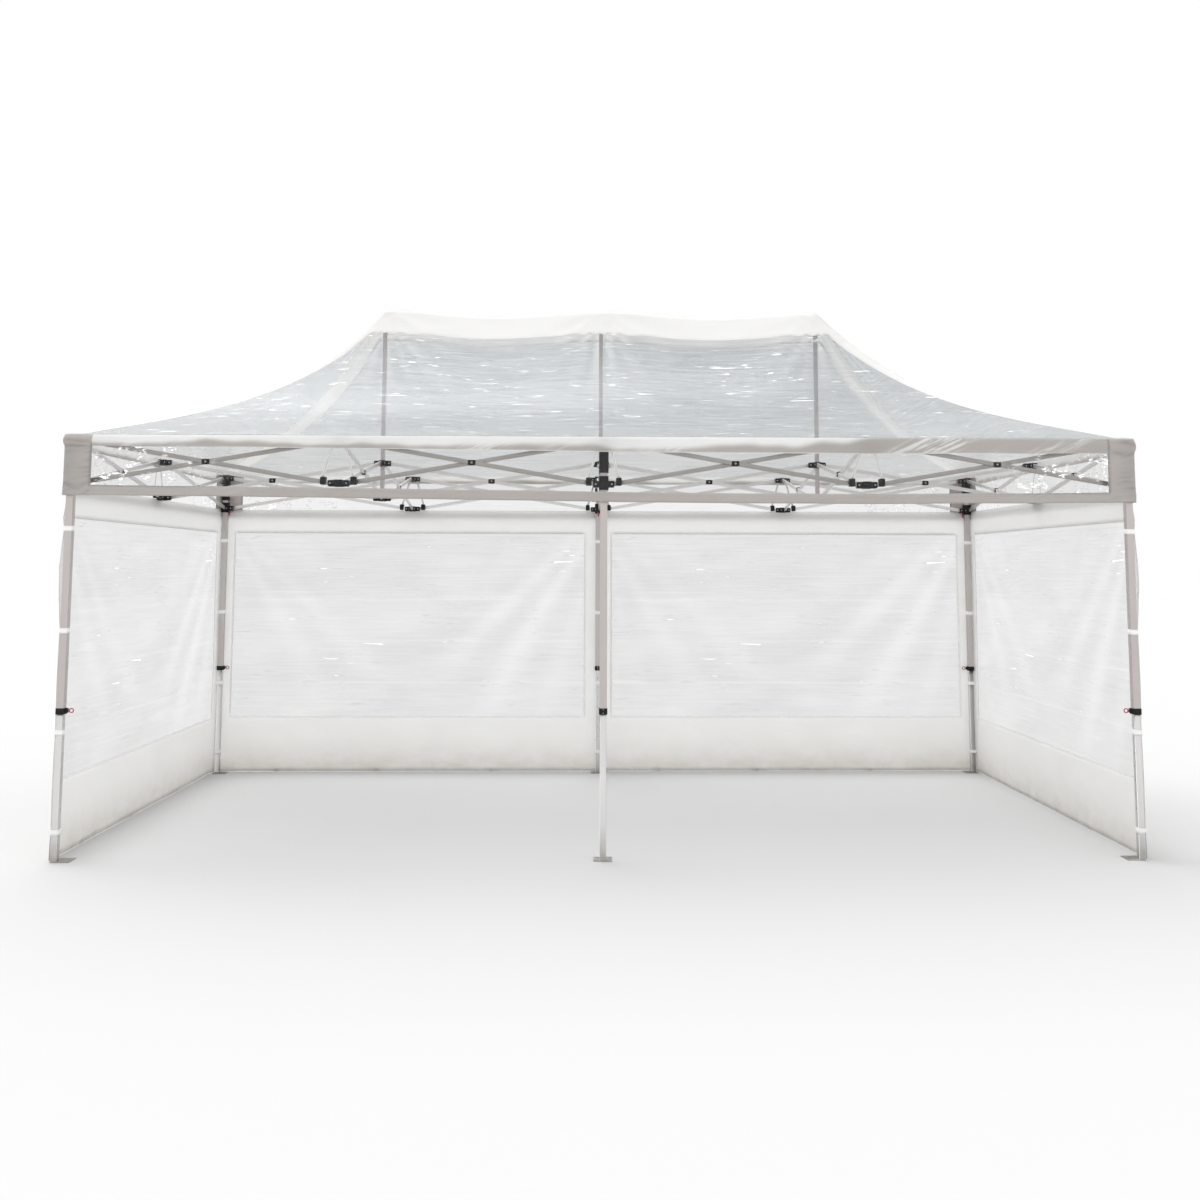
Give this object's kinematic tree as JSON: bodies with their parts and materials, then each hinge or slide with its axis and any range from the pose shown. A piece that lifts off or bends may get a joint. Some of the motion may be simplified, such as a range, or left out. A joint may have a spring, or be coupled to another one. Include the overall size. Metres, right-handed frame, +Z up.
{
  "type": "pop-up marquee tent",
  "caption": "Open-fronted pop-up marquee with telescoping legs, scissor trusses, peak poles, a hipped clear roof with white bands and clear film walls",
  "frame": {"origin": "on the ground at the middle of the tent's plan", "axes": "+X along the long side, to the right when facing the open front; +Y from the open front to the back wall; +Z up"},
  "size_m": [5.9896, 3.0296, 3.352],
  "materials": {
    "frame_tube": "satin anodised square tube",
    "truss_bar": "satin anodised flat bar with black plastic castings at the joints",
    "black_plastic": "moulded nylon, slightly rough",
    "red_plastic": "moulded pull ring",
    "white_fabric": "PVC coated polyester, off-white",
    "clear_film": "clear PVC film with fine creases"
  },
  "bodies": {
    "root": {"front_left_outer_leg": "frame_tube", "front_left_leg_lock": "black_plastic", "front_left_top_bracket": "black_plastic", "front_left_slider": "black_plastic", "front_middle_outer_leg": "frame_tube", "front_middle_leg_lock": "black_plastic", "front_middle_top_bracket": "black_plastic", "front_middle_slider": "black_plastic", "front_right_outer_leg": "frame_tube", "front_right_leg_lock": "black_plastic", "front_right_top_bracket": "black_plastic", "front_right_slider": "black_plastic", "back_left_outer_leg": "frame_tube", "back_left_leg_lock": "black_plastic", "back_left_top_bracket": "black_plastic", "back_left_slider": "black_plastic", "back_middle_outer_leg": "frame_tube", "back_middle_leg_lock": "black_plastic", "back_middle_top_bracket": "black_plastic", "back_middle_slider": "black_plastic", "back_right_outer_leg": "frame_tube", "back_right_leg_lock": "black_plastic", "back_right_top_bracket": "black_plastic", "back_right_slider": "black_plastic", "front_left_truss": "truss_bar", "front_right_truss": "truss_bar", "back_left_truss": "truss_bar", "back_right_truss": "truss_bar", "left_end_truss": "truss_bar", "right_end_truss": "truss_bar", "left_hub_truss": "truss_bar", "middle_hub_truss": "truss_bar", "right_hub_truss": "truss_bar", "left_peak_pole": "frame_tube", "middle_peak_pole": "frame_tube", "right_peak_pole": "frame_tube", "roof_cover": "clear_film", "valance": "white_fabric", "left_wall": "white_fabric", "left_window": "clear_film", "right_wall": "white_fabric", "right_window": "clear_film", "back_left_wall": "white_fabric", "back_left_window": "clear_film", "back_right_wall": "white_fabric", "back_right_window": "clear_film"},
    "front_left_leg": {"front_left_inner_leg": "frame_tube"},
    "front_left_pin": {"front_left_release_pin": "red_plastic"},
    "front_middle_leg": {"front_middle_inner_leg": "frame_tube"},
    "front_middle_pin": {"front_middle_release_pin": "red_plastic"},
    "front_right_leg": {"front_right_inner_leg": "frame_tube"},
    "front_right_pin": {"front_right_release_pin": "red_plastic"},
    "back_left_leg": {"back_left_inner_leg": "frame_tube"},
    "back_left_pin": {"back_left_release_pin": "red_plastic"},
    "back_middle_leg": {"back_middle_inner_leg": "frame_tube"},
    "back_middle_pin": {"back_middle_release_pin": "red_plastic"},
    "back_right_leg": {"back_right_inner_leg": "frame_tube"},
    "back_right_pin": {"back_right_release_pin": "red_plastic"}
  },
  "joints": [
    {"name": "front_left_leg_slide", "type": "slide", "parent": "root", "child": "front_left_leg", "axis": [0, 0, 1], "range_m": [0, 0.225]},
    {"name": "front_left_pin_pull", "type": "slide", "parent": "root", "child": "front_left_pin", "axis": [1, 0, 0], "range_m": [0, 0.008], "stiffness_N_per_m": 500, "springref_m": -0.006},
    {"name": "front_middle_leg_slide", "type": "slide", "parent": "root", "child": "front_middle_leg", "axis": [0, 0, 1], "range_m": [0, 0.225]},
    {"name": "front_middle_pin_pull", "type": "slide", "parent": "root", "child": "front_middle_pin", "axis": [0, 1, 0], "range_m": [0, 0.008], "stiffness_N_per_m": 500, "springref_m": -0.006},
    {"name": "front_right_leg_slide", "type": "slide", "parent": "root", "child": "front_right_leg", "axis": [0, 0, 1], "range_m": [0, 0.225]},
    {"name": "front_right_pin_pull", "type": "slide", "parent": "root", "child": "front_right_pin", "axis": [-1, 0, 0], "range_m": [0, 0.008], "stiffness_N_per_m": 500, "springref_m": -0.006},
    {"name": "back_left_leg_slide", "type": "slide", "parent": "root", "child": "back_left_leg", "axis": [0, 0, 1], "range_m": [0, 0.225]},
    {"name": "back_left_pin_pull", "type": "slide", "parent": "root", "child": "back_left_pin", "axis": [1, 0, 0], "range_m": [0, 0.008], "stiffness_N_per_m": 500, "springref_m": -0.006},
    {"name": "back_middle_leg_slide", "type": "slide", "parent": "root", "child": "back_middle_leg", "axis": [0, 0, 1], "range_m": [0, 0.225]},
    {"name": "back_middle_pin_pull", "type": "slide", "parent": "root", "child": "back_middle_pin", "axis": [0, -1, 0], "range_m": [0, 0.008], "stiffness_N_per_m": 500, "springref_m": -0.006},
    {"name": "back_right_leg_slide", "type": "slide", "parent": "root", "child": "back_right_leg", "axis": [0, 0, 1], "range_m": [0, 0.225]},
    {"name": "back_right_pin_pull", "type": "slide", "parent": "root", "child": "back_right_pin", "axis": [-1, 0, 0], "range_m": [0, 0.008], "stiffness_N_per_m": 500, "springref_m": -0.006}
  ]
}
